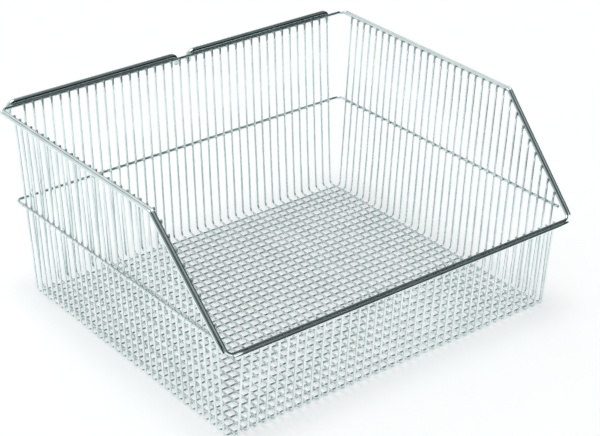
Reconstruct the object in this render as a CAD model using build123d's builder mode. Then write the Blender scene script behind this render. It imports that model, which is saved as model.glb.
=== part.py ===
from math import hypot, sqrt
import os

from build123d import *

# Open-front wire mesh storage bin with hanger rods, all dimensions in millimetres.
# +X is the bin's right, +Y its back, +Z up. The origin is under the middle of the overall outline, on the
# plane that the floor's lowest wires rest on.

os.makedirs("parts", exist_ok=True)

# Overall width, over the outer rods
OVERALL_WIDTH = 417

# Round stock, and the hairline left between welded pieces so that each stays a solid of its own
ROD_RADIUS = 1.6
HANGER_RADIUS = 3.15
BELT_RADIUS = 1.5
WIRE_RADIUS = 1.15
WELD_GAP = 0.01

# Heights of the rod and wire centre lines
BACK_RIM_Z = 192.4
FRONT_RIM_Z = 95.6
BELT_BACK_Z = 98.6
BELT_FRONT_Z = 102.5
CROSS_WIRE_FLOOR_Z = WIRE_RADIUS
LONG_WIRE_FLOOR_Z = 3 * WIRE_RADIUS + WELD_GAP

# Mesh planes: the wire centre lines at rim height, and how far further in they stand at the floor
BACK_Y = 169
FRONT_Y = -171.9
SIDE_INSET = 11.9
BACK_INSET = 10.4
FRONT_INSET = 7.4
RIM_BEND_Y = -77.8

# Mesh wires
CROSS_WIRE_COUNT = 32
CROSS_WIRE_PITCH = 9.9
CROSS_WIRE_BACK_MARGIN = 17
LONG_WIRE_COUNT = 38
LONG_WIRE_PITCH = 9.77
LONG_WIRES_PER_NODE = 2
WIRE_BEND_RADIUS = 4.5
WIRE_END_ABOVE_ROD = 1

# Bends of the heavier stock
RIM_BEND_RADIUS = 6
BELT_BEND_RADIUS = 6
BELT_END_Y = -159.8

# Outer rods beside the rim rod: their cut ends, and how much lower the front one lies
SIDE_OUTER_BACK_Y = 168
SIDE_OUTER_FRONT_Y = -172.5
FRONT_OUTER_END_X = 194
FRONT_OUTER_DROP = 1.3

# Hanger rods: the outer faces of their turned-down ends, and how far above the back rim they lie
HANGER_SPANS = {"left": (-197, -1.5), "right": (7, 189.5)}
HANGER_RISE = 2
HANGER_BEND_RADIUS = 6
HANGER_LEG = 9


class MeshWall:
    """A leaning wall of parallel wires: how far their centre lines are from the middle of the bin."""

    def __init__(self, rim_distance, rim_z, inset, floor_z):
        self.rim_distance = rim_distance
        self.rim_z = rim_z
        self.lean = inset / (rim_z - floor_z)
        self.slant = hypot(1, self.lean)

    def at(self, z, stock_radius=0):
        """Distance of the wires at height z, or of stock of the given radius welded to their outer face."""
        wire_distance = self.rim_distance - (self.rim_z - z) * self.lean
        if stock_radius == 0:
            return wire_distance
        return wire_distance + (WIRE_RADIUS + stock_radius + WELD_GAP) * self.slant


SIDE_LEAN = SIDE_INSET / (BACK_RIM_Z - CROSS_WIRE_FLOOR_Z)
ROD_PITCH = 2 * ROD_RADIUS + WELD_GAP
SIDE_WIRE_TO_OUTER_ROD = (WIRE_RADIUS + ROD_RADIUS + WELD_GAP + ROD_PITCH) * hypot(1, SIDE_LEAN)
SIDE_RIM_DISTANCE = OVERALL_WIDTH / 2 - ROD_RADIUS - SIDE_WIRE_TO_OUTER_ROD
side_wall = MeshWall(SIDE_RIM_DISTANCE, BACK_RIM_Z, SIDE_INSET, CROSS_WIRE_FLOOR_Z)
back_wall = MeshWall(BACK_Y, BACK_RIM_Z, BACK_INSET, LONG_WIRE_FLOOR_Z)
front_wall = MeshWall(-FRONT_Y, FRONT_RIM_Z, FRONT_INSET, LONG_WIRE_FLOOR_Z)

# Corner points of the rim rod's centre line, on the right side of the bin
RIM_BACK_Y = back_wall.at(BACK_RIM_Z, ROD_RADIUS)
RIM_FRONT_Y = -front_wall.at(FRONT_RIM_Z, ROD_RADIUS)
RIM_BACK_X = side_wall.at(BACK_RIM_Z, ROD_RADIUS)
RIM_FRONT_X = side_wall.at(FRONT_RIM_Z, ROD_RADIUS)


def side_rim_z(y):
    """Height of the side rim's centre line: level at the back, then straight down to the front corner."""
    if y >= RIM_BEND_Y:
        return BACK_RIM_Z
    fall = (BACK_RIM_Z - FRONT_RIM_Z) / (RIM_BEND_Y - RIM_FRONT_Y)
    return BACK_RIM_Z - (RIM_BEND_Y - y) * fall


def sweep_round(path, stock_radius):
    """Sweep a round section along a path that starts with a straight run."""
    with BuildSketch(Plane(path @ 0, z_dir=path % 0)) as section:
        Circle(stock_radius)
    sweep(section.sketch, path=path)


# Rim rod: one loop around the mouth, level at the back and sides, falling to the low front
with BuildPart() as rim_rod:
    with BuildLine() as rim_path:
        FilletPolyline(
            (-RIM_BACK_X, RIM_BACK_Y, BACK_RIM_Z),
            (RIM_BACK_X, RIM_BACK_Y, BACK_RIM_Z),
            (RIM_BACK_X, RIM_BEND_Y, BACK_RIM_Z),
            (RIM_FRONT_X, RIM_FRONT_Y, FRONT_RIM_Z),
            (-RIM_FRONT_X, RIM_FRONT_Y, FRONT_RIM_Z),
            (-RIM_BACK_X, RIM_BEND_Y, BACK_RIM_Z),
            radius=RIM_BEND_RADIUS,
            close=True,
        )
    sweep_round(rim_path.wire(), ROD_RADIUS)
rim_rod.part.label = "rim_rod"
export_step(rim_rod.part, "parts/rim_rod.step")

# Side outer rods: beside the rim rod from the back corner to the foot of the slope, both ends cut square
outer_back_x = RIM_BACK_X + ROD_PITCH * side_wall.slant
outer_front_x = outer_back_x - (BACK_RIM_Z - side_rim_z(SIDE_OUTER_FRONT_Y)) * side_wall.lean
for side, hand in (("left", -1), ("right", 1)):
    with BuildPart() as side_outer:
        with BuildLine() as side_outer_path:
            FilletPolyline(
                (hand * outer_back_x, SIDE_OUTER_BACK_Y, BACK_RIM_Z),
                (hand * outer_back_x, RIM_BEND_Y, BACK_RIM_Z),
                (hand * outer_front_x, SIDE_OUTER_FRONT_Y, side_rim_z(SIDE_OUTER_FRONT_Y)),
                radius=RIM_BEND_RADIUS,
            )
        sweep_round(side_outer_path.wire(), ROD_RADIUS)
    side_outer.part.label = f"outer_rod_{side}"
    export_step(side_outer.part, f"parts/outer_rod_{side}.step")

# Front outer rod: straight, in front of the rim rod and a little below it
front_outer_y = RIM_FRONT_Y - sqrt(ROD_PITCH**2 - FRONT_OUTER_DROP**2)
front_outer_z = FRONT_RIM_Z - FRONT_OUTER_DROP
with BuildPart() as outer_rod_front:
    with BuildLine() as front_outer_path:
        Line(
            (-FRONT_OUTER_END_X, front_outer_y, front_outer_z),
            (FRONT_OUTER_END_X, front_outer_y, front_outer_z),
        )
    sweep_round(front_outer_path.wire(), ROD_RADIUS)
outer_rod_front.part.label = "outer_rod_front"
export_step(outer_rod_front.part, "parts/outer_rod_front.step")

# Belt wire: runs round the left, back and right walls, rising a little towards its front ends
with BuildPart() as belt_wire:
    belt_back_x = side_wall.at(BELT_BACK_Z, BELT_RADIUS)
    belt_front_x = side_wall.at(BELT_FRONT_Z, BELT_RADIUS)
    belt_back_y = back_wall.at(BELT_BACK_Z, BELT_RADIUS)
    with BuildLine() as belt_path:
        FilletPolyline(
            (-belt_front_x, BELT_END_Y, BELT_FRONT_Z),
            (-belt_back_x, belt_back_y, BELT_BACK_Z),
            (belt_back_x, belt_back_y, BELT_BACK_Z),
            (belt_front_x, BELT_END_Y, BELT_FRONT_Z),
            radius=BELT_BEND_RADIUS,
        )
    sweep_round(belt_path.wire(), BELT_RADIUS)
belt_wire.part.label = "belt_wire"
export_step(belt_wire.part, "parts/belt_wire.step")

# Hanger rods: straight runs welded behind the back rim and a little above it, both ends turned down
hanger_y = RIM_BACK_Y + sqrt((ROD_RADIUS + HANGER_RADIUS + WELD_GAP) ** 2 - HANGER_RISE**2)
hanger_z = BACK_RIM_Z + HANGER_RISE
hanger_foot_z = hanger_z - HANGER_LEG
for side, (left_face, right_face) in HANGER_SPANS.items():
    left_x = left_face + HANGER_RADIUS
    right_x = right_face - HANGER_RADIUS
    with BuildPart() as hanger:
        with BuildLine() as hanger_path:
            FilletPolyline(
                (left_x, hanger_y, hanger_foot_z),
                (left_x, hanger_y, hanger_z),
                (right_x, hanger_y, hanger_z),
                (right_x, hanger_y, hanger_foot_z),
                radius=HANGER_BEND_RADIUS,
            )
        sweep_round(hanger_path.wire(), HANGER_RADIUS)
    hanger.part.label = f"hanger_rod_{side}"
    export_step(hanger.part, f"parts/hanger_rod_{side}.step")

# Cross wires: from the left rim down, under the floor and up to the right rim, counted from the back
for number in range(1, CROSS_WIRE_COUNT + 1):
    wire_y = BACK_Y - CROSS_WIRE_BACK_MARGIN - (number - 1) * CROSS_WIRE_PITCH
    end_z = side_rim_z(wire_y) + WIRE_END_ABOVE_ROD
    end_x = side_wall.at(end_z)
    floor_x = side_wall.at(CROSS_WIRE_FLOOR_Z)
    with BuildPart() as cross_wire:
        with BuildLine() as cross_path:
            FilletPolyline(
                (-end_x, wire_y, end_z),
                (-floor_x, wire_y, CROSS_WIRE_FLOOR_Z),
                (floor_x, wire_y, CROSS_WIRE_FLOOR_Z),
                (end_x, wire_y, end_z),
                radius=WIRE_BEND_RADIUS,
            )
        sweep_round(cross_path.wire(), WIRE_RADIUS)
    cross_wire.part.label = f"cross_wire_{number:02d}"
    export_step(cross_wire.part, f"parts/cross_wire_{number:02d}.step")

# Long wires: from the back rim down, along the floor and up to the front rim, two neighbours to a node
back_end_z = BACK_RIM_Z + WIRE_END_ABOVE_ROD
front_end_z = FRONT_RIM_Z + WIRE_END_ABOVE_ROD
for first in range(1, LONG_WIRE_COUNT + 1, LONG_WIRES_PER_NODE):
    numbers = range(first, first + LONG_WIRES_PER_NODE)
    with BuildPart() as long_wires:
        for number in numbers:
            wire_x = (number - (LONG_WIRE_COUNT + 1) / 2) * LONG_WIRE_PITCH
            with BuildLine() as long_path:
                FilletPolyline(
                    (wire_x, back_wall.at(back_end_z), back_end_z),
                    (wire_x, back_wall.at(LONG_WIRE_FLOOR_Z), LONG_WIRE_FLOOR_Z),
                    (wire_x, -front_wall.at(LONG_WIRE_FLOOR_Z), LONG_WIRE_FLOOR_Z),
                    (wire_x, -front_wall.at(front_end_z), front_end_z),
                    radius=WIRE_BEND_RADIUS,
                )
            sweep_round(long_path.wire(), WIRE_RADIUS)
    name = f"long_wires_{numbers[0]:02d}_{numbers[-1]:02d}"
    long_wires.part.label = name
    export_step(long_wires.part, f"parts/{name}.step")
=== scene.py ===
from math import asin, cos, hypot, pi, radians, sin, tan
from random import Random

import bpy
from mathutils import Matrix, Vector


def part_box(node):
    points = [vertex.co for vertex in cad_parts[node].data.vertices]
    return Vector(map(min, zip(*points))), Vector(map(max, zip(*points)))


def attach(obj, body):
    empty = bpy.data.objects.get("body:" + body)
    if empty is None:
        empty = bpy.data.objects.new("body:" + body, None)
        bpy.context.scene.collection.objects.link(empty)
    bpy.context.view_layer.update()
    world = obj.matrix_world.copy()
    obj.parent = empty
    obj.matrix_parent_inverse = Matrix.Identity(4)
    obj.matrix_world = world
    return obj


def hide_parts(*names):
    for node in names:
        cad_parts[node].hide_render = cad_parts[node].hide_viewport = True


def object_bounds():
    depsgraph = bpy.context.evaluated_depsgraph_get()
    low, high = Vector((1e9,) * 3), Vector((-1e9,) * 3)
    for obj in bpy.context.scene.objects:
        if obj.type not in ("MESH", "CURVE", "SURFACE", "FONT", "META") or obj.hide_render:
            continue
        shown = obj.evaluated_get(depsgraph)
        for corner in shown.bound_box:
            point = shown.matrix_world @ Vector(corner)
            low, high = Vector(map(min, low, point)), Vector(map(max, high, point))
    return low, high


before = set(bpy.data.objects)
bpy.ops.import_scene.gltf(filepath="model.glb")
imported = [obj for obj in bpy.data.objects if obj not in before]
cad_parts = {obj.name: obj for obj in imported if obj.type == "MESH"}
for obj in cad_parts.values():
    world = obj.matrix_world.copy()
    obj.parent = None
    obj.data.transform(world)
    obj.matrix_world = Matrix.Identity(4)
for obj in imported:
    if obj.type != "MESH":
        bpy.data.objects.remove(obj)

# The looks of an open-front chrome wire bin, in metres, in the frame of its CAD model.
# Every wire and rod of the CAD model is rebuilt on its own centre line as a smooth tube with sheared ends,
# and the welds that hold them together are added.

CAD_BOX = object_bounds()

# Round stock and its bends, as the CAD model has them
ROD_RADIUS = 0.0016
HANGER_RADIUS = 0.00315
BELT_RADIUS = 0.0015
WIRE_RADIUS = 0.00115
RIM_BEND_RADIUS = 0.006
BELT_BEND_RADIUS = 0.006
HANGER_BEND_RADIUS = 0.006
WIRE_BEND_RADIUS = 0.0045

# How far in the back and front walls stand at the floor, and where the side rims start to fall
BACK_INSET = 0.0104
FRONT_INSET = 0.0074
RIM_BEND_Y = -0.0778

# Counts of the mesh wires
CROSS_WIRE_COUNT = 32
LONG_WIRE_COUNT = 38
LONG_WIRES_PER_NODE = 2

# Fineness of the tubes
WIRE_SIDES = 16
BELT_SIDES = 20
ROD_SIDES = 28
HANGER_SIDES = 36
BEND_STEPS = 10
LONGEST_RING_GAP = 0.012
END_BEVEL = 0.00018

# Welds: how far along the stock the plating is dulled and darkened with painted contact shade, and the half
# sizes of the squeezed-out beads
WELD_REACH = 0.0013
FLOOR_BEAD = (0.00105, 0.00105, 0.00050)
RIM_BEAD = (0.00130, 0.00115, 0.00055)
BELT_BEAD = (0.00120, 0.00110, 0.00055)
HANGER_BEAD = (0.00600, 0.00100, 0.00100)
OUTER_BEAD = (0.00500, 0.00080, 0.00060)
OUTER_BEAD_PITCH = 0.045
HANGER_BEADS = 4
BEAD_SEGMENTS = 10
BEAD_RINGS = 6
LEAST_BEAD_SHARE = 0.86

# How far below the side rim the belt must pass for the wire there to be dulled and darkened with painted
# contact shade, and for it to have a bead
DULLED_AND_SHADED_BELT_DROP = 4 * WIRE_RADIUS
WELDED_BELT_DROP = 2 * ROD_RADIUS

# Hand-made unevenness of the free wire spans
WIRE_BOW = 0.00028

draws = Random(7)


# ---------------------------------------------------------------- centre lines

def bend_corner(before, corner, after, bend_radius):
    """The arc that rounds one corner, as evenly spaced points."""
    towards_before = (before - corner).normalized()
    towards_after = (after - corner).normalized()
    half_angle = towards_before.angle(towards_after) / 2
    tangent_length = bend_radius / tan(half_angle)
    bisector = (towards_before + towards_after).normalized()
    centre = corner + bisector * (bend_radius / sin(half_angle))
    first = corner + towards_before * tangent_length - centre
    last = corner + towards_after * tangent_length - centre
    sweep = first.angle(last)
    points = []
    for step in range(BEND_STEPS + 1):
        share = step / BEND_STEPS
        weight_first = sin((1 - share) * sweep) / sin(sweep)
        weight_last = sin(share * sweep) / sin(sweep)
        points.append(centre + first * weight_first + last * weight_last)
    return points


def bent_line(corners, bend_radius, closed=False):
    """Straight runs between the corners, joined by arcs."""
    corners = [Vector(corner) for corner in corners]
    count = len(corners)
    points = []
    for index, corner in enumerate(corners):
        if not closed and index in (0, count - 1):
            points.append(corner)
        else:
            points += bend_corner(corners[index - 1], corner, corners[(index + 1) % count], bend_radius)
    return points


def with_stations(points, stations, closed=False):
    """Rings for a tube, as (point, weld share): one at each weld, one each side of it, and no long gaps."""
    rings = []
    count = len(points)
    for index in range(count if closed else count - 1):
        start = points[index]
        run = points[(index + 1) % count] - start
        length = run.length
        direction = run / length
        places = {0.0: 0.0}
        for station in stations:
            along = (station - start).dot(direction)
            off_line = (station - start - direction * along).length
            if WELD_REACH < along < length - WELD_REACH and off_line < WIRE_RADIUS:
                # The weld share peaks at each weld and crossing. There the plating is dulled, and the colour
                # is darkened by painted contact shade.
                places.update({along - WELD_REACH: 0.0, along: 1.0, along + WELD_REACH: 0.0})
        marks = sorted(places) + [length]
        for here, following in zip(marks, marks[1:]):
            rings.append((start + direction * here, places[here]))
            parts = int((following - here) / LONGEST_RING_GAP) + 1
            for part in range(1, parts):
                rings.append((start + direction * (here + (following - here) * part / parts), 0.0))
    if not closed:
        rings.append((points[-1], 0.0))
    return rings


def bow(rings, knots, sideways, amount):
    """Shifts the rings between each pair of heights in knots sideways, in one gentle bow for each pair."""
    moved = []
    for point, weld in rings:
        shift = 0.0
        for low, high, share in knots:
            if low < point.z < high:
                shift = amount * share * sin(pi * (point.z - low) / (high - low)) ** 2
        moved.append((point + sideways * shift, weld))
    return moved


# ---------------------------------------------------------------- mesh

# The mesh layers that the materials read, and the place in the UV layer of faces without drawing lines
STOCK_UV = "stock"
WELD_ATTRIBUTE = "weld"
FLAT_UV = (0.5, 0.5)


class Stock:
    """One piece under construction: tubes and weld beads collected into a single mesh."""

    def __init__(self):
        self.points = []
        self.faces = []
        self.face_materials = []
        self.loop_uvs = []
        self.weld_shares = []

    def add_face(self, corners, uvs, material=0):
        self.faces.append(corners)
        self.face_materials.append(material)
        self.loop_uvs += uvs

    def add_ring(self, centre, normal, binormal, radius, sides, weld):
        first = len(self.points)
        for side in range(sides):
            angle = 2 * pi * side / sides
            self.points.append(centre + (normal * cos(angle) + binormal * sin(angle)) * radius)
            self.weld_shares.append(weld)
        return first

    def join_rings(self, first, second, sides, along_first, along_second):
        for side in range(sides):
            following = (side + 1) % sides
            corners = (first + side, first + following, second + following, second + side)
            around, around_next = side / sides, (side + 1) / sides
            uvs = [(around, along_first), (around_next, along_first)]
            uvs += [(around_next, along_second), (around, along_second)]
            self.add_face(corners, uvs)

    def add_tube(self, rings, radius, sides, closed=False):
        """A round tube through the rings. Open ends are sheared flat with a small bevel."""
        centres = [point for point, _ in rings]
        count = len(centres)
        steps = [(centres[(i + 1) % count] - centres[i]).normalized() for i in range(count)]
        if closed:
            tangents = [(steps[i - 1] + steps[i]).normalized() for i in range(count)]
        else:
            steps[-1] = steps[-2]
            tangents = [steps[0]] + [(steps[i - 1] + steps[i]).normalized() for i in range(1, count)]
        normals = [tangents[0].orthogonal().normalized()]
        for index in range(1, count):
            turn = tangents[index - 1].rotation_difference(tangents[index])
            normals.append((turn @ normals[-1]).normalized())
        leftover = 0.0
        if closed:
            arrived = tangents[-1].rotation_difference(tangents[0]) @ normals[-1]
            side_on = tangents[0].cross(normals[0])
            leftover = asin(max(-1.0, min(1.0, arrived.dot(side_on))))
        made = []
        along = 0.0
        for index, (centre, weld) in enumerate(rings):
            tangent = tangents[index]
            normal = Matrix.Rotation(-leftover * index / count, 3, tangent) @ normals[index]
            binormal = tangent.cross(normal)
            if index:
                along += (centre - centres[index - 1]).length
            if not closed and index in (0, count - 1):
                inwards = tangent if index == 0 else -tangent
                shoulder = (centre + inwards * END_BEVEL, radius, along + END_BEVEL * inwards.dot(tangent))
                face = (centre, radius - END_BEVEL, along)
                for place, ring_radius, ring_along in (face, shoulder) if index == 0 else (shoulder, face):
                    first = self.add_ring(place, normal, binormal, ring_radius, sides, weld)
                    made.append((first, ring_along))
            else:
                made.append((self.add_ring(centre, normal, binormal, radius, sides, weld), along))
        for (first, along_first), (second, along_second) in zip(made, made[1:]):
            self.join_rings(first, second, sides, along_first, along_second)
        if closed:
            around_length = along + (centres[0] - centres[-1]).length
            self.join_rings(made[-1][0], made[0][0], sides, along, around_length)
            return
        for first, order in ((made[0][0], -1), (made[-1][0], 1)):
            corners = tuple(range(first, first + sides))[::order]
            self.add_face(corners, [FLAT_UV] * sides, material=1)

    def add_bead(self, centre, along, across, half_sizes):
        """A squashed drop of weld metal at a contact point, a little uneven from one to the next."""
        along = along.normalized()
        outwards = along.cross(across).normalized()
        across = outwards.cross(along)
        sizes = [size * draws.uniform(LEAST_BEAD_SHARE, 1.0) for size in half_sizes]
        half_along, half_across, half_out = sizes
        axes = (along * half_along, across * half_across, outwards * half_out)
        poles = []
        rows = []
        # Every point of a bead takes the full weld share: dull plating, darkened by painted contact shade.
        for ring in range(BEAD_RINGS + 1):
            tilt = pi * ring / BEAD_RINGS
            if ring in (0, BEAD_RINGS):
                poles.append(len(self.points))
                self.points.append(centre + axes[2] * cos(tilt))
                self.weld_shares.append(1.0)
                continue
            rows.append(len(self.points))
            for segment in range(BEAD_SEGMENTS):
                turn = 2 * pi * segment / BEAD_SEGMENTS
                flat = axes[0] * cos(turn) + axes[1] * sin(turn)
                self.points.append(centre + flat * sin(tilt) + axes[2] * cos(tilt))
                self.weld_shares.append(1.0)
        for segment in range(BEAD_SEGMENTS):
            following = (segment + 1) % BEAD_SEGMENTS
            top = (poles[0], rows[0] + segment, rows[0] + following)
            bottom = (poles[1], rows[-1] + following, rows[-1] + segment)
            self.add_face(top, [FLAT_UV] * 3)
            self.add_face(bottom, [FLAT_UV] * 3)
            for upper, lower in zip(rows, rows[1:]):
                quad = (upper + segment, lower + segment, lower + following, upper + following)
                self.add_face(quad, [FLAT_UV] * 4)

    def finish(self, name, materials, replaced=()):
        """Makes the object, and ties it to the CAD model."""
        mesh = bpy.data.meshes.new(name)
        mesh.from_pydata(self.points, [], self.faces)
        for material in materials:
            mesh.materials.append(material)
        mesh.polygons.foreach_set("material_index", self.face_materials)
        mesh.polygons.foreach_set("use_smooth", [material == 0 for material in self.face_materials])
        uv_layer = mesh.uv_layers.new(name=STOCK_UV)
        uv_layer.data.foreach_set("uv", [value for uv in self.loop_uvs for value in uv])
        weld_layer = mesh.attributes.new(WELD_ATTRIBUTE, "FLOAT", "POINT")
        weld_layer.data.foreach_set("value", self.weld_shares)
        mesh.validate()
        mesh.update()
        piece = bpy.data.objects.new(name, mesh)
        bpy.context.scene.collection.objects.link(piece)
        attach(piece, "root")
        if replaced:
            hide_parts(*replaced)


# ---------------------------------------------------------------- materials

# The colour sockets of a Mix node
MIX_FIRST_INPUT = 6
MIX_SECOND_INPUT = 7
MIX_OUTPUT = 2


class Shader:
    """A short way to write node trees: each call makes a node, sets or links its inputs, and returns it."""

    def __init__(self, tree):
        self.tree = tree
        tree.nodes.clear()

    def node(self, kind, settings=None, **inputs):
        node = self.tree.nodes.new(kind)
        for key, value in (settings or {}).items():
            setattr(node, key, value)
        for key, value in inputs.items():
            socket = node.inputs[int(key[1:])] if key[0] == "_" else node.inputs[key.replace("_", " ")]
            if isinstance(value, bpy.types.NodeSocket):
                self.tree.links.new(value, socket)
            else:
                socket.default_value = value
        return node

    def noise(self, vector, scale, detail=2.0, roughness=0.5):
        made = self.node("ShaderNodeTexNoise", Vector=vector, Scale=scale, Detail=detail,
                         Roughness=roughness)
        return made.outputs["Fac"]

    def ramp(self, value, low, high, to_low=0.0, to_high=1.0):
        made = self.node("ShaderNodeMapRange", {"interpolation_type": "SMOOTHSTEP"}, Value=value,
                         From_Min=low, From_Max=high, To_Min=to_low, To_Max=to_high)
        return made.outputs["Result"]

    def math(self, operation, first, second):
        return self.node("ShaderNodeMath", {"operation": operation}, _0=first, _1=second).outputs["Value"]

    def mix(self, share, first, second):
        made = self.node("ShaderNodeMix", {"data_type": "RGBA"}, Factor=share)
        for index, colour in ((MIX_FIRST_INPUT, first), (MIX_SECOND_INPUT, second)):
            if isinstance(colour, bpy.types.NodeSocket):
                self.tree.links.new(colour, made.inputs[index])
            else:
                made.inputs[index].default_value = colour
        return made.outputs[MIX_OUTPUT]


# Colours of the metal
CHROME_LIGHT = (0.850, 0.920, 0.920, 1)
CHROME_DEEP = (0.740, 0.825, 0.825, 1)
# A dull steel grey. It gives the grain of the sheared ends. At the welds it is the dull plating, together
# with painted contact shade.
DULL_STEEL_GREY = (0.420, 0.465, 0.465, 1)
SHEARED_STEEL = (0.110, 0.122, 0.122, 1)

# Plating: the scale of each noise, the values between which it takes hold, and how strongly it shows
CLOUD_SCALE = 38.0
CLOUD_RANGE = (0.38, 0.66)
STREAK_SCALE_ALONG = 14.0
STREAK_RANGE = (0.55, 0.80)
STREAK_TINT = 0.25
STREAK_RELIEF = 0.5
PIT_SCALE = 2600.0
PIT_RANGE = (0.66, 0.74)
# How far the weld share pulls the colour towards the dull grey. This is partly dull weld plating and partly
# painted contact shade.
WELD_DULLING_AND_SHADE = 0.85
WELD_ROUGHNESS = 0.22
CLOUD_GLOSS_WEIGHT = 0.6
STREAK_GLOSS_WEIGHT = 0.4
GLOSS_RANGE = (0.35, 0.70)
PLATING_BUMP = 0.10
PLATING_BUMP_DISTANCE = 0.00003

# Sheared ends
GRAIN_SCALE = 1900.0
GRAIN_RANGE = (0.3, 0.7)
SHEARED_METALLIC = 0.85
SHEARED_ROUGHNESS = (0.32, 0.55)
SHEARED_BUMP = 0.5
SHEARED_BUMP_DISTANCE = 0.00008


def chrome(name, streak_scale, roughness_low, roughness_high):
    """Plated steel stock: cloudy brightness, drawing lines, fine pits, and at the welds dull plating darkened
    further by painted contact shade.
    """
    material = bpy.data.materials.new(name)
    material.use_nodes = True
    shader = Shader(material.node_tree)
    place = shader.node("ShaderNodeTexCoord").outputs["Object"]
    stock_uv = shader.node("ShaderNodeUVMap", {"uv_map": STOCK_UV}).outputs["UV"]
    stretch = (streak_scale, STREAK_SCALE_ALONG, 1.0)
    drawn = shader.node("ShaderNodeMapping", Vector=stock_uv, Scale=stretch).outputs["Vector"]
    weld = shader.node("ShaderNodeAttribute", {"attribute_name": WELD_ATTRIBUTE}).outputs["Fac"]
    clouds = shader.noise(place, CLOUD_SCALE, detail=4.0, roughness=0.55)
    streaks = shader.noise(drawn, 1.0, detail=3.0, roughness=0.6)
    pits = shader.ramp(shader.noise(place, PIT_SCALE, detail=1.0, roughness=0.4), *PIT_RANGE)
    film = shader.ramp(clouds, *CLOUD_RANGE)
    colour = shader.mix(film, CHROME_LIGHT, CHROME_DEEP)
    streak_share = shader.math("MULTIPLY", shader.ramp(streaks, *STREAK_RANGE), STREAK_TINT)
    colour = shader.mix(streak_share, colour, CHROME_DEEP)
    # Painted shade: near each weld and crossing the colour darkens towards the dull grey. This is partly the
    # weld's dull plating and partly the contact shade between touching wires.
    colour = shader.mix(shader.math("MULTIPLY", weld, WELD_DULLING_AND_SHADE), colour, DULL_STEEL_GREY)
    cloud_part = shader.math("MULTIPLY", clouds, CLOUD_GLOSS_WEIGHT)
    streak_part = shader.math("MULTIPLY", streaks, STREAK_GLOSS_WEIGHT)
    unevenness = shader.math("ADD", cloud_part, streak_part)
    roughness = shader.ramp(unevenness, *GLOSS_RANGE, roughness_low, roughness_high)
    roughness = shader.math("ADD", roughness, shader.math("MULTIPLY", weld, WELD_ROUGHNESS))
    relief = shader.math("SUBTRACT", shader.math("MULTIPLY", streaks, STREAK_RELIEF), pits)
    bump = shader.node("ShaderNodeBump", Height=relief, Strength=PLATING_BUMP, Distance=PLATING_BUMP_DISTANCE)
    surface = shader.node("ShaderNodeBsdfPrincipled", Base_Color=colour, Roughness=roughness, Metallic=1.0,
                          Normal=bump.outputs["Normal"])
    shader.node("ShaderNodeOutputMaterial", Surface=surface.outputs["BSDF"])
    return material


def sheared_end(name):
    """The cut face of a wire: torn, dull grey steel that the plating hardly brightens."""
    material = bpy.data.materials.new(name)
    material.use_nodes = True
    shader = Shader(material.node_tree)
    place = shader.node("ShaderNodeTexCoord").outputs["Object"]
    grain = shader.noise(place, GRAIN_SCALE, detail=3.0, roughness=0.6)
    colour = shader.mix(grain, SHEARED_STEEL, DULL_STEEL_GREY)
    roughness = shader.ramp(grain, *GRAIN_RANGE, *SHEARED_ROUGHNESS)
    bump = shader.node("ShaderNodeBump", Height=grain, Strength=SHEARED_BUMP, Distance=SHEARED_BUMP_DISTANCE)
    surface = shader.node("ShaderNodeBsdfPrincipled", Base_Color=colour, Metallic=SHEARED_METALLIC,
                          Roughness=roughness, Normal=bump.outputs["Normal"])
    shader.node("ShaderNodeOutputMaterial", Surface=surface.outputs["BSDF"])
    return material


rod_chrome = chrome("bright_rod_chrome", streak_scale=60.0, roughness_low=0.020, roughness_high=0.075)
wire_chrome = chrome("bright_wire_chrome", streak_scale=26.0, roughness_low=0.045, roughness_high=0.130)
cut_steel = sheared_end("sheared_wire_end")
ROD_FINISH = (rod_chrome, cut_steel)
WIRE_FINISH = (wire_chrome, cut_steel)


# ---------------------------------------------------------------- places, read from the CAD model

def cross_node(number):
    return f"cross_wire_{number:02d}"


def long_node(first):
    return f"long_wires_{first:02d}_{first + LONG_WIRES_PER_NODE - 1:02d}"


rim_low, rim_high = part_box("rim_rod")
belt_low, belt_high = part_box("belt_wire")
back_cross_low, back_cross_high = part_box(cross_node(1))
front_cross_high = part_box(cross_node(CROSS_WIRE_COUNT))[1]

rim_back_z = rim_high.z - ROD_RADIUS
rim_front_z = rim_low.z + ROD_RADIUS
rim_back_y = rim_high.y - ROD_RADIUS
rim_front_y = rim_low.y + ROD_RADIUS
rim_back_x = rim_high.x - ROD_RADIUS
cross_floor_z = back_cross_low.z + WIRE_RADIUS
long_floor_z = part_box(long_node(1))[0].z + WIRE_RADIUS

# Leans of the walls: sideways run for each metre of height
side_lean = (back_cross_high.x - front_cross_high.x) / (back_cross_high.z - front_cross_high.z)
back_lean = BACK_INSET / (rim_back_z - long_floor_z)
front_lean = FRONT_INSET / (rim_front_z - long_floor_z)
side_slant = hypot(1, side_lean)
back_slant = hypot(1, back_lean)
front_slant = hypot(1, front_lean)
rim_front_x = rim_back_x - (rim_back_z - rim_front_z) * side_lean

# The belt's centre line
belt_back_z = belt_low.z + BELT_RADIUS
belt_front_z = belt_high.z - BELT_RADIUS
belt_back_y = belt_high.y - BELT_RADIUS
belt_end_y = belt_low.y
belt_front_x = belt_high.x - BELT_RADIUS
belt_back_x = belt_front_x - (belt_front_z - belt_back_z) * side_lean


def side_rim_z(y):
    """Height of the side rim's centre line at y."""
    if y >= RIM_BEND_Y:
        return rim_back_z
    return rim_back_z - (RIM_BEND_Y - y) * (rim_back_z - rim_front_z) / (RIM_BEND_Y - rim_front_y)


def side_belt_z(y):
    """Height of the belt along the sides at y."""
    return belt_back_z + (belt_back_y - y) * (belt_front_z - belt_back_z) / (belt_back_y - belt_end_y)


def cross_wire_y(number):
    low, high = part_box(cross_node(number))
    return (low.y + high.y) / 2


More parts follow.
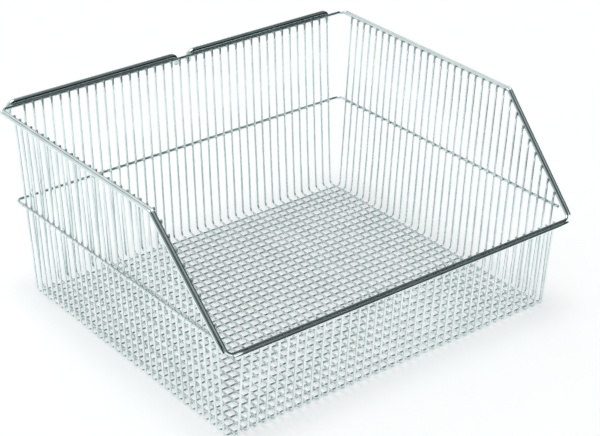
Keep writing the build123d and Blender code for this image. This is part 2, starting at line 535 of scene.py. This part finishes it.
def long_wire_x(number):
    first = number - (number - 1) % LONG_WIRES_PER_NODE
    low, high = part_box(long_node(first))
    return low.x + WIRE_RADIUS if number == first else high.x - WIRE_RADIUS


cross_ys = {number: cross_wire_y(number) for number in range(1, CROSS_WIRE_COUNT + 1)}
long_xs = {number: long_wire_x(number) for number in range(1, LONG_WIRE_COUNT + 1)}


# ---------------------------------------------------------------- pieces

def make_rim_rod():
    stock = Stock()
    corners = [
        (-rim_back_x, rim_back_y, rim_back_z),
        (rim_back_x, rim_back_y, rim_back_z),
        (rim_back_x, RIM_BEND_Y, rim_back_z),
        (rim_front_x, rim_front_y, rim_front_z),
        (-rim_front_x, rim_front_y, rim_front_z),
        (-rim_back_x, RIM_BEND_Y, rim_back_z),
    ]
    line = bent_line(corners, RIM_BEND_RADIUS, closed=True)
    stock.add_tube(with_stations(line, [], closed=True), ROD_RADIUS, ROD_SIDES, closed=True)
    stock.finish("rim_rod_plated", ROD_FINISH, ["rim_rod"])


def make_outer_rod_side(side, hand):
    """A rod beside the rim rod, from the back corner to the foot of the slope."""
    low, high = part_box(f"outer_rod_{side}")
    back_x = max(abs(low.x), abs(high.x)) - ROD_RADIUS
    back_z = high.z - ROD_RADIUS
    fall = (rim_back_z - rim_front_z) / (RIM_BEND_Y - rim_front_y)
    front_y = low.y + ROD_RADIUS * fall / hypot(1, fall)
    front_z = side_rim_z(front_y)
    front_x = back_x - (back_z - front_z) * side_lean
    corners = [
        (hand * back_x, high.y, back_z),
        (hand * back_x, RIM_BEND_Y, back_z),
        (hand * front_x, front_y, front_z),
    ]
    stock = Stock()
    stock.add_tube(with_stations(bent_line(corners, RIM_BEND_RADIUS), []), ROD_RADIUS, ROD_SIDES)
    stock.finish(f"outer_rod_{side}_plated", ROD_FINISH, [f"outer_rod_{side}"])


def make_outer_rod_front():
    """A straight rod in front of the rim rod and a little below it."""
    low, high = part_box("outer_rod_front")
    y, z = (low.y + high.y) / 2, (low.z + high.z) / 2
    ends = [Vector((low.x, y, z)), Vector((high.x, y, z))]
    stock = Stock()
    stock.add_tube(with_stations(ends, []), ROD_RADIUS, ROD_SIDES)
    stock.finish("outer_rod_front_plated", ROD_FINISH, ["outer_rod_front"])


def make_belt_wire():
    stock = Stock()
    corners = [
        (-belt_front_x, belt_end_y, belt_front_z),
        (-belt_back_x, belt_back_y, belt_back_z),
        (belt_back_x, belt_back_y, belt_back_z),
        (belt_front_x, belt_end_y, belt_front_z),
    ]
    stations = [Vector((x, belt_back_y, belt_back_z)) for x in long_xs.values()]
    for y in cross_ys.values():
        z = side_belt_z(y)
        x = belt_back_x + (z - belt_back_z) * side_lean
        stations += [Vector((-x, y, z)), Vector((x, y, z))]
    line = bent_line(corners, BELT_BEND_RADIUS)
    stock.add_tube(with_stations(line, stations), BELT_RADIUS, BELT_SIDES)
    stock.finish("belt_wire_plated", WIRE_FINISH, ["belt_wire"])


def make_hanger(side):
    low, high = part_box(f"hanger_rod_{side}")
    y = (low.y + high.y) / 2
    top_z = high.z - HANGER_RADIUS
    corners = [
        (low.x + HANGER_RADIUS, y, low.z),
        (low.x + HANGER_RADIUS, y, top_z),
        (high.x - HANGER_RADIUS, y, top_z),
        (high.x - HANGER_RADIUS, y, low.z),
    ]
    stock = Stock()
    stock.add_tube(with_stations(bent_line(corners, HANGER_BEND_RADIUS), []), HANGER_RADIUS, HANGER_SIDES)
    stock.finish(f"hanger_rod_{side}_plated", ROD_FINISH, [f"hanger_rod_{side}"])


def make_cross_wire(number):
    """A wire from the left rim down, under the floor and up to the right rim."""
    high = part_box(cross_node(number))[1]
    y = cross_ys[number]
    end_x = high.x - WIRE_RADIUS / side_slant
    end_z = high.z - WIRE_RADIUS * side_lean / side_slant
    floor_x = end_x - (end_z - cross_floor_z) * side_lean
    corners = [
        (-end_x, y, end_z),
        (-floor_x, y, cross_floor_z),
        (floor_x, y, cross_floor_z),
        (end_x, y, end_z),
    ]
    rim_z = side_rim_z(y)
    belt_z = side_belt_z(y)
    stations = [Vector((x, y, cross_floor_z)) for x in long_xs.values()]
    if rim_z - belt_z > DULLED_AND_SHADED_BELT_DROP:
        belt_x = end_x - (end_z - belt_z) * side_lean
        stations += [Vector((-belt_x, y, belt_z)), Vector((belt_x, y, belt_z))]
    rings = with_stations(bent_line(corners, WIRE_BEND_RADIUS), stations)
    spans = [(cross_floor_z + WIRE_BEND_RADIUS, min(belt_z, rim_z), draws.uniform(-1, 1)),
             (belt_z, rim_z, draws.uniform(-1, 1))]
    stock = Stock()
    stock.add_tube(bow(rings, spans, Vector((0, 1, 0)), WIRE_BOW), WIRE_RADIUS, WIRE_SIDES)
    stock.finish(f"{cross_node(number)}_plated", WIRE_FINISH, [cross_node(number)])


def make_long_wires(first):
    """Two neighbouring wires from the back rim down, along the floor and up to the front rim."""
    low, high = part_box(long_node(first))
    back_y = high.y - WIRE_RADIUS / back_slant
    back_z = high.z - WIRE_RADIUS * back_lean / back_slant
    front_y = low.y + WIRE_RADIUS / front_slant
    front_z = rim_front_z + (back_z - rim_back_z)
    back_floor_y = back_y - (back_z - long_floor_z) * back_lean
    front_floor_y = front_y + (front_z - long_floor_z) * front_lean
    stock = Stock()
    for number in range(first, first + LONG_WIRES_PER_NODE):
        x = long_xs[number]
        corners = [
            (x, back_y, back_z),
            (x, back_floor_y, long_floor_z),
            (x, front_floor_y, long_floor_z),
            (x, front_y, front_z),
        ]
        belt_y = back_floor_y + (belt_back_z - long_floor_z) * back_lean
        stations = [Vector((x, y, long_floor_z)) for y in cross_ys.values()]
        stations.append(Vector((x, belt_y, belt_back_z)))
        rings = with_stations(bent_line(corners, WIRE_BEND_RADIUS), stations)
        spans = [(long_floor_z + WIRE_BEND_RADIUS, belt_back_z, draws.uniform(-1, 1)),
                 (belt_back_z, rim_back_z, draws.uniform(-1, 1))]
        stock.add_tube(bow(rings, spans, Vector((1, 0, 0)), WIRE_BOW), WIRE_RADIUS, WIRE_SIDES)
    stock.finish(f"{long_node(first)}_plated", WIRE_FINISH, [long_node(first)])


def make_floor_welds():
    """A bead at every crossing of the floor."""
    stock = Stock()
    contact_z = (cross_floor_z + long_floor_z) / 2
    for y in cross_ys.values():
        for x in long_xs.values():
            stock.add_bead(Vector((x, y, contact_z)), Vector((1, 0, 0)), Vector((0, 1, 0)), FLOOR_BEAD)
    stock.finish("floor_welds", WIRE_FINISH)


def make_rim_welds():
    """A bead where each wire end meets the inner face of the rim rod."""
    stock = Stock()
    up_back = Vector((0, back_lean, 1))
    up_front = Vector((0, -front_lean, 1))
    back_y = rim_back_y - ROD_RADIUS / back_slant
    back_z = rim_back_z + ROD_RADIUS * back_lean / back_slant
    front_y = rim_front_y + ROD_RADIUS / front_slant
    front_z = rim_front_z + ROD_RADIUS * front_lean / front_slant
    for x in long_xs.values():
        back = Vector((x, back_y, back_z))
        front = Vector((x, front_y, front_z))
        stock.add_bead(back - up_back * RIM_BEAD[0], up_back, Vector((1, 0, 0)), RIM_BEAD)
        stock.add_bead(front - up_front * RIM_BEAD[0], up_front, Vector((1, 0, 0)), RIM_BEAD)
    for y in cross_ys.values():
        rim_z = side_rim_z(y)
        rod_x = rim_back_x - (rim_back_z - rim_z) * side_lean - ROD_RADIUS / side_slant
        for hand in (-1, 1):
            up = Vector((hand * side_lean, 0, 1))
            centre = Vector((hand * rod_x, y, rim_z)) - up * RIM_BEAD[0]
            stock.add_bead(centre, up, Vector((0, 1, 0)), RIM_BEAD)
    stock.finish("rim_welds", ROD_FINISH)


def make_belt_welds():
    """A bead at every crossing of the belt."""
    stock = Stock()
    for x in long_xs.values():
        contact = Vector((x, belt_back_y - BELT_RADIUS / back_slant, belt_back_z))
        stock.add_bead(contact, Vector((0, back_lean, 1)), Vector((1, 0, 0)), BELT_BEAD)
    for y in cross_ys.values():
        z = side_belt_z(y)
        if side_rim_z(y) - z < WELDED_BELT_DROP or y < belt_end_y:
            continue
        contact_x = belt_back_x + (z - belt_back_z) * side_lean - BELT_RADIUS / side_slant
        for hand in (-1, 1):
            up = Vector((hand * side_lean, 0, 1))
            stock.add_bead(Vector((hand * contact_x, y, z)), up, Vector((0, 1, 0)), BELT_BEAD)
    stock.finish("belt_welds", WIRE_FINISH)


def make_hanger_welds():
    """Short runs of weld in the groove under each hanger rod, against the rim rod."""
    stock = Stock()
    for side in ("left", "right"):
        low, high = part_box(f"hanger_rod_{side}")
        hanger_centre = Vector((0, (low.y + high.y) / 2, high.z - HANGER_RADIUS))
        rim_centre = Vector((0, rim_back_y, rim_back_z))
        contact = rim_centre + (hanger_centre - rim_centre).normalized() * ROD_RADIUS
        for index in range(HANGER_BEADS):
            x = low.x + (high.x - low.x) * (index + 0.5) / HANGER_BEADS
            centre = contact + Vector((x, 0, -HANGER_BEAD[2]))
            stock.add_bead(centre, Vector((1, 0, 0)), Vector((0, 1, 0)), HANGER_BEAD)
    stock.finish("hanger_welds", ROD_FINISH)


def make_outer_welds():
    """Short runs of weld in the groove under each outer rod, against the rim rod."""
    stock = Stock()
    low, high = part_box("outer_rod_front")
    contact = Vector((0, ((low.y + high.y) / 2 + rim_front_y) / 2, ((low.z + high.z) / 2 + rim_front_z) / 2))
    count = int((high.x - low.x) / OUTER_BEAD_PITCH)
    for index in range(count):
        x = low.x + (high.x - low.x) * (index + 0.5) / count
        centre = contact + Vector((x, 0, -OUTER_BEAD[2]))
        stock.add_bead(centre, Vector((1, 0, 0)), Vector((0, 1, 0)), OUTER_BEAD)
    low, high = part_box("outer_rod_right")
    x = (high.x - ROD_RADIUS + rim_back_x) / 2
    level_length = high.y - RIM_BEND_Y
    count = int(level_length / OUTER_BEAD_PITCH)
    for index in range(count):
        y = RIM_BEND_Y + level_length * (index + 0.5) / count
        for hand in (-1, 1):
            centre = Vector((hand * x, y, rim_back_z - OUTER_BEAD[2]))
            stock.add_bead(centre, Vector((0, 1, 0)), Vector((1, 0, 0)), OUTER_BEAD)
    stock.finish("outer_rod_welds", ROD_FINISH)


make_rim_rod()
for outer_side, outer_hand in (("left", -1), ("right", 1)):
    make_outer_rod_side(outer_side, outer_hand)
make_outer_rod_front()
make_belt_wire()
for hanger_side in ("left", "right"):
    make_hanger(hanger_side)
for wire_number in range(1, CROSS_WIRE_COUNT + 1):
    make_cross_wire(wire_number)
for first_number in range(1, LONG_WIRE_COUNT + 1, LONG_WIRES_PER_NODE):
    make_long_wires(first_number)
make_floor_welds()
make_rim_welds()
make_belt_welds()
make_hanger_welds()
make_outer_welds()


# ---------------------------------------------------------------- studio

BACKDROP_RADIUS = 8.0
FLOOR_DROP = 0.0002
PALE = (0.985, 0.988, 0.990, 1)
FLOOR_GLOW = 0.615
# Painted shade: the floor's glow drops to the shaded glow in a soft-edged box under the bin.
SHADED_GLOW = 0.520
SHADED_HALF_SIZE = (0.185, 0.160, 1.0)
SHADE_EDGE = 0.045
FLOOR_TONES = ((0.60, 0.605, 0.605, 1), (0.63, 0.635, 0.635, 1))
FLOOR_CLOUD_SCALE = 3.0
FLOOR_ROUGHNESS = 0.9

# The dark card lies on the floor at the front right, and the camera doesn't see it: its near corner and size
CARD_CORNER = (-0.04, -0.33)
CARD_SIZE = (1.30, 1.10)
CARD_RISE = 0.0006
CARD_TONE = (0.006, 0.009, 0.010, 1)

# The room that the plated stock mirrors, as (azimuth, elevation, half width, edge, colour) seen from the bin.
# Azimuth 0 is behind the bin and 90 is to its right. Later panels lie over earlier ones.
ROOM_TONE = (0.80, 0.82, 0.82, 1)
ROOM_PANELS = [
    (-141, 25, 50, 22, (0.36, 0.40, 0.40, 1)),
    (125, 15, 58, 14, (0.010, 0.014, 0.015, 1)),
    (57, 48, 13, 7, (0.045, 0.058, 0.060, 1)),
    (34, 14, 12, 4, (0.030, 0.042, 0.044, 1)),
    (0, 90, 19, 3, (2.40, 2.42, 2.42, 1)),
    (112, 50, 15, 9, (0.150, 0.182, 0.184, 1)),
]


def plain_emission(name, colour):
    """A material that gives one even tone, for the backdrop and the dark card."""
    material = bpy.data.materials.new(name)
    material.use_nodes = True
    shader = Shader(material.node_tree)
    glow = shader.node("ShaderNodeEmission", Color=colour, Strength=1.0)
    shader.node("ShaderNodeOutputMaterial", Surface=glow.outputs["Emission"])
    return material


def make_floor():
    """A pale floor, which glows a little, and a little less in a soft-edged box under the bin, as painted
    shade.
    """
    material = bpy.data.materials.new("pale_floor")
    material.use_nodes = True
    shader = Shader(material.node_tree)
    place = shader.node("ShaderNodeTexCoord").outputs["Object"]
    tone = shader.mix(shader.noise(place, FLOOR_CLOUD_SCALE, detail=3.0), *FLOOR_TONES)
    from_middle = shader.node("ShaderNodeVectorMath", {"operation": "ABSOLUTE"}, _0=place).outputs["Vector"]
    past_shade = shader.node("ShaderNodeVectorMath", {"operation": "SUBTRACT"}, _0=from_middle,
                             _1=SHADED_HALF_SIZE).outputs["Vector"]
    outside = shader.node("ShaderNodeVectorMath", {"operation": "MAXIMUM"}, _0=past_shade,
                          _1=(0.0, 0.0, 0.0)).outputs["Vector"]
    distance = shader.node("ShaderNodeVectorMath", {"operation": "LENGTH"}, _0=outside).outputs["Value"]
    glow = shader.ramp(distance, 0.0, SHADE_EDGE, SHADED_GLOW, FLOOR_GLOW)
    surface = shader.node("ShaderNodeBsdfPrincipled", Base_Color=tone, Roughness=FLOOR_ROUGHNESS,
                          Emission_Color=PALE, Emission_Strength=glow)
    shader.node("ShaderNodeOutputMaterial", Surface=surface.outputs["BSDF"])
    bpy.ops.mesh.primitive_circle_add(vertices=96, radius=BACKDROP_RADIUS, fill_type="NGON",
                                      location=(0, 0, -FLOOR_DROP))
    floor = bpy.context.object
    floor.name = "floor"
    floor.data.materials.append(material)


def make_backdrop():
    """A pale shell all round, which only the camera sees."""
    bpy.ops.mesh.primitive_uv_sphere_add(segments=64, ring_count=32, radius=BACKDROP_RADIUS)
    backdrop = bpy.context.object
    backdrop.name = "backdrop"
    backdrop.data.materials.append(plain_emission("pale_backdrop", PALE))
    backdrop.visible_glossy = False
    backdrop.visible_diffuse = False
    backdrop.visible_shadow = False


def make_dark_card():
    """A dark card on the floor, which only the plated stock mirrors."""
    near_x, near_y = CARD_CORNER
    width, depth = CARD_SIZE
    far_x, far_y = near_x + width, near_y - depth
    mesh = bpy.data.meshes.new("dark_card")
    corners = [(near_x, near_y), (near_x, far_y), (far_x, far_y), (far_x, near_y)]
    mesh.from_pydata([(x, y, CARD_RISE) for x, y in corners], [], [(0, 1, 2, 3)])
    mesh.materials.append(plain_emission("dark_card", CARD_TONE))
    card = bpy.data.objects.new("dark_card", mesh)
    bpy.context.scene.collection.objects.link(card)
    card.visible_camera = False
    card.visible_diffuse = False
    card.visible_shadow = False


def make_room():
    """The soft light all round: a pale room, with a dark side at the front right."""
    world = bpy.data.worlds.new("studio")
    world.use_nodes = True
    shader = Shader(world.node_tree)
    direction = shader.node("ShaderNodeTexCoord").outputs["Generated"]
    colour = ROOM_TONE
    for azimuth, elevation, half_width, edge, tone in ROOM_PANELS:
        turn, rise = radians(azimuth), radians(elevation)
        middle = (sin(turn) * cos(rise), cos(turn) * cos(rise), sin(rise))
        facing = shader.node("ShaderNodeVectorMath", {"operation": "DOT_PRODUCT"}, _0=direction, _1=middle)
        outer, inner = cos(radians(half_width + edge)), cos(radians(half_width - edge))
        colour = shader.mix(shader.ramp(facing.outputs["Value"], outer, inner), colour, tone)
    background = shader.node("ShaderNodeBackground", Color=colour, Strength=1.0)
    shader.node("ShaderNodeOutputWorld", Surface=background.outputs["Background"])
    bpy.context.scene.world = world


# Camera: where it stands about the middle of the bin's outline, and its lens
CAMERA_AZIMUTH = radians(-38.326)
CAMERA_ELEVATION = radians(28.056)
CAMERA_ROLL = radians(0.495)
CAMERA_DISTANCE = 1.73111
CAMERA_RIGHT = 0.01107
CAMERA_UP = -0.01101
CAMERA_LENS = 109.88


def make_camera():
    low, high = CAD_BOX
    middle = (low + high) / 2
    reach = cos(CAMERA_ELEVATION)
    back = Vector((sin(CAMERA_AZIMUTH) * reach, -cos(CAMERA_AZIMUTH) * reach, sin(CAMERA_ELEVATION)))
    level = back.to_track_quat("Z", "Y").to_matrix()
    turned = level @ Matrix.Rotation(CAMERA_ROLL, 3, "Z")
    data = bpy.data.cameras.new("camera")
    data.lens = CAMERA_LENS
    camera = bpy.data.objects.new("camera", data)
    right, up = turned.col[0], turned.col[1]
    place = middle + right * CAMERA_RIGHT + up * CAMERA_UP + back * CAMERA_DISTANCE
    camera.matrix_world = Matrix.Translation(place) @ turned.to_4x4()
    bpy.context.scene.collection.objects.link(camera)
    bpy.context.scene.camera = camera


make_floor()
make_backdrop()
make_dark_card()
make_room()
make_camera()
bpy.context.scene.view_settings.view_transform = "Standard"

bpy.context.view_layer.update()
